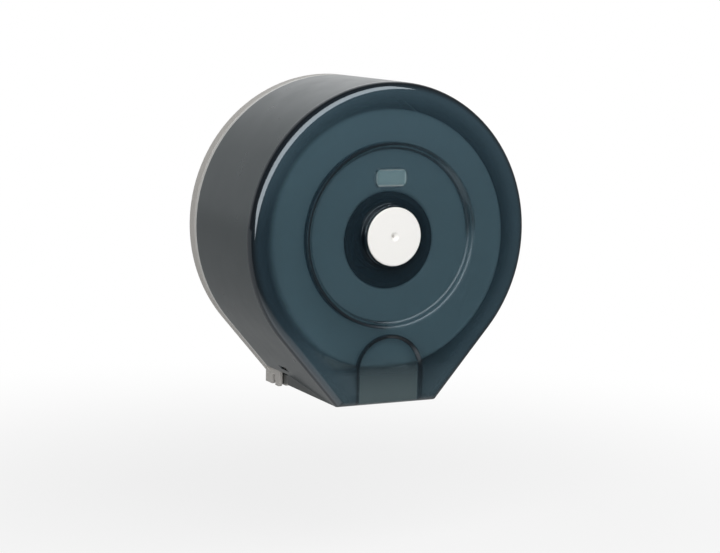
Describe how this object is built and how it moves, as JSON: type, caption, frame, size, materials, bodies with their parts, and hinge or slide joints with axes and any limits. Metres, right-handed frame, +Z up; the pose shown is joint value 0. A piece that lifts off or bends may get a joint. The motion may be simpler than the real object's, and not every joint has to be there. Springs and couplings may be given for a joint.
{
  "type": "jumbo toilet roll dispenser",
  "caption": "Round wall dispenser for a jumbo toilet roll, with a smoked drop-down cover, a turning lock and a free-running drum.",
  "frame": {"origin": "where the spindle's axis meets the wall, on the back plate's rear face", "axes": "+Y into the wall, out of the rear face; +Z up; +X to the viewer's right"},
  "size_m": [0.27, 0.1455, 0.2865],
  "materials": {
    "smoked_plastic": "polished, smoked and see-through",
    "window_plastic": "polished, lighter smoked",
    "grey_plastic": "fine moulded satin",
    "white_plastic": "smooth moulded",
    "dark_plastic": "moulded satin",
    "bearing_plastic": "smooth",
    "steel": "satin, bright plated",
    "screw_steel": "bright plated",
    "tissue": "soft embossed tissue",
    "core_card": "wound board"
  },
  "bodies": {
    "base": {"back_plate": "grey_plastic", "spindle_post": "steel", "spindle_screws": "screw_steel", "drum_cap": "dark_plastic", "end_screw": "screw_steel", "thrust_washer": "steel", "lock_keeper": "steel", "hinge_pin_left": "steel", "hinge_pin_right": "steel"},
    "drum": {"core_drum": "dark_plastic", "front_bush": "bearing_plastic", "rear_bush": "bearing_plastic"},
    "roll": {"paper_roll": "tissue", "roll_core": "core_card"},
    "cover": {"cover_shell": "smoked_plastic", "window_pane": "window_plastic", "tear_bar": "steel", "lock_housing": "dark_plastic", "housing_screws": "screw_steel"},
    "lock": {"lock_knob": "white_plastic", "barrel_clip": "steel", "lock_cam": "steel", "cam_screw": "screw_steel"}
  },
  "joints": [
    {"name": "cover_hinge", "type": "hinge", "parent": "base", "child": "cover", "pos_m": [0, -0.028, -0.1445], "axis": [1, 0, 0], "range_deg": [0, 95]},
    {"name": "lock_turn", "type": "hinge", "parent": "cover", "child": "lock", "pos_m": [0, -0.13, 0], "axis": [0, -1, 0], "range_deg": [0, 90]},
    {"name": "roll_spin", "type": "hinge", "parent": "base", "child": "roll", "pos_m": [0, -0.086, -0.0043], "axis": [0, 1, 0], "continuous": true},
    {"name": "drum_spin", "type": "hinge", "parent": "base", "child": "drum", "pos_m": [0, -0.086, 0], "axis": [0, 1, 0], "continuous": true}
  ],
  "couplings": [
    {"joint": "drum_spin", "follows": "roll_spin", "ratio": 1.1377}
  ]
}
